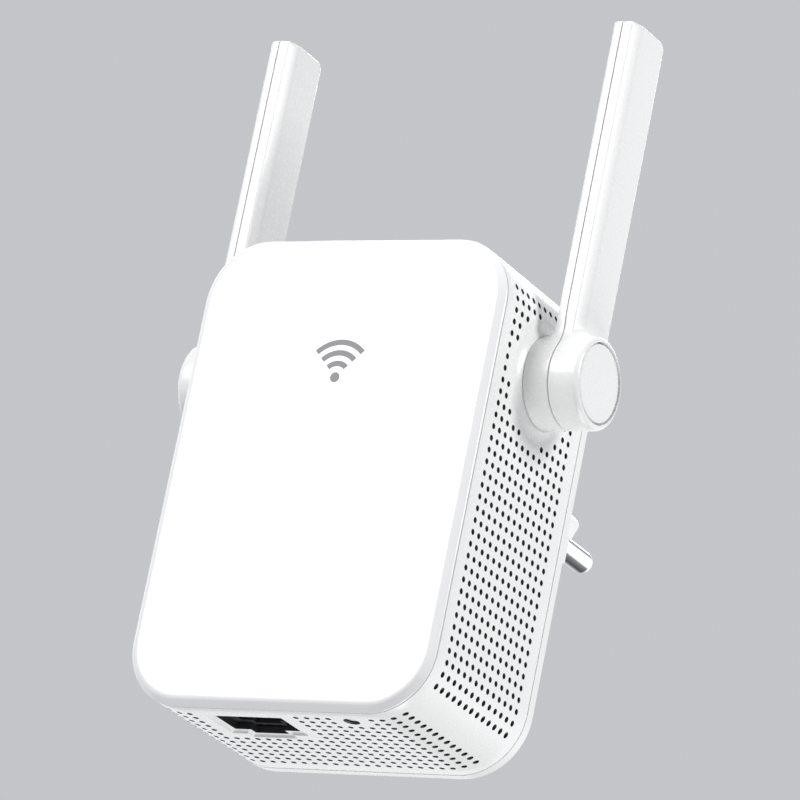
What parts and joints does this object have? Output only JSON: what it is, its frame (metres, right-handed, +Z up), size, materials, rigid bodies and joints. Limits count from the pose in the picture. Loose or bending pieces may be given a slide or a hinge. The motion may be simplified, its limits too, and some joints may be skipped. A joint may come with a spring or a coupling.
{
  "type": "wifi range extender",
  "caption": "Plug-in wireless range extender: vented white body with a network port underneath, mains pins behind and folding antennas at the sides.",
  "frame": {"origin": "centre between the two pins on the contact face of the plug", "axes": "+Y into the wall along the pins, +Z up along the antennas, +X to the right seen from the front"},
  "size_m": [0.0982, 0.0803, 0.1548],
  "materials": {
    "shell": "glossy white moulded plastic",
    "cover": "high gloss white moulded plastic",
    "button": "satin light grey plastic",
    "pin_metal": "nickel plated",
    "steel": "zinc plated",
    "tin": "tinned sheet",
    "brass": "gold flashed",
    "board": "solder resist green",
    "power_board": "paper board, tan",
    "chip": "moulded black",
    "ferrite": "dark grey ferrite",
    "winding": "yellow tape",
    "can": "dark sleeve",
    "choke": "varnished copper and ferrite",
    "fuse": "lacquered body",
    "disc": "blue lacquer",
    "sheet": "translucent film",
    "aluminium": "plain",
    "pad": "soft gap pad",
    "cable": "black jacket",
    "clear": "clear moulding",
    "lamp": "clear epoxy",
    "antenna_board": "copper on thin board",
    "washer": "friction washer",
    "plate": "blank foil"
  },
  "bodies": {
    "casing": {"front_cover": "cover", "side_frame": "shell", "rear_cover": "shell", "case_screws": "steel", "board_screws": "steel", "rating_plate": "plate", "plug_pin_left": "pin_metal", "plug_pin_right": "pin_metal", "mains_leads": "brass", "power_board": "power_board", "power_board_screws": "steel", "transformer_core": "ferrite", "transformer_winding": "winding", "bulk_capacitors": "can", "output_capacitors": "can", "line_choke": "choke", "line_fuse": "fuse", "bridge_rectifier": "chip", "safety_capacitor": "disc", "optocoupler": "chip", "power_controller": "chip", "board_link": "sheet", "insulation_sheet": "sheet", "main_board": "board", "shield_frame": "tin", "shield_lid": "tin", "processor": "chip", "memory_chips": "chip", "radio_chips": "chip", "thermal_pad": "pad", "heat_spreader": "aluminium", "ethernet_shell": "tin", "ethernet_insert": "chip", "ethernet_contacts": "brass", "ethernet_magnetics": "chip", "coax_connectors": "brass", "right_body_cable": "cable", "left_body_cable": "cable", "reset_switch": "chip", "pairing_switch": "chip", "status_leds": "lamp", "light_pipe": "clear"},
    "right_antenna": {"right_inner_shell": "shell", "right_outer_shell": "shell", "right_hub_cap": "shell", "right_radiator": "antenna_board", "right_blade_cable": "cable", "right_washer": "washer", "right_ring": "steel"},
    "left_antenna": {"left_inner_shell": "shell", "left_outer_shell": "shell", "left_hub_cap": "shell", "left_radiator": "antenna_board", "left_blade_cable": "cable", "left_washer": "washer", "left_ring": "steel"},
    "pairing_button": {"pairing_button": "button"},
    "reset_plunger": {"reset_plunger": "button"}
  },
  "joints": [
    {"name": "right_antenna_hinge", "type": "hinge", "parent": "casing", "child": "right_antenna", "pos_m": [0.0267, -0.04025, 0.018], "axis": [1, 0, 0], "range_deg": [0, 180]},
    {"name": "left_antenna_hinge", "type": "hinge", "parent": "casing", "child": "left_antenna", "pos_m": [-0.0463, -0.03525, 0.018], "axis": [1, 0, 0], "range_deg": [0, 180]},
    {"name": "pairing_button_press", "type": "slide", "parent": "casing", "child": "pairing_button", "axis": [1, 0, 0], "range_m": [0, 0.0005]},
    {"name": "reset_plunger_press", "type": "slide", "parent": "casing", "child": "reset_plunger", "axis": [0, 0, 1], "range_m": [0, 0.00035]}
  ]
}
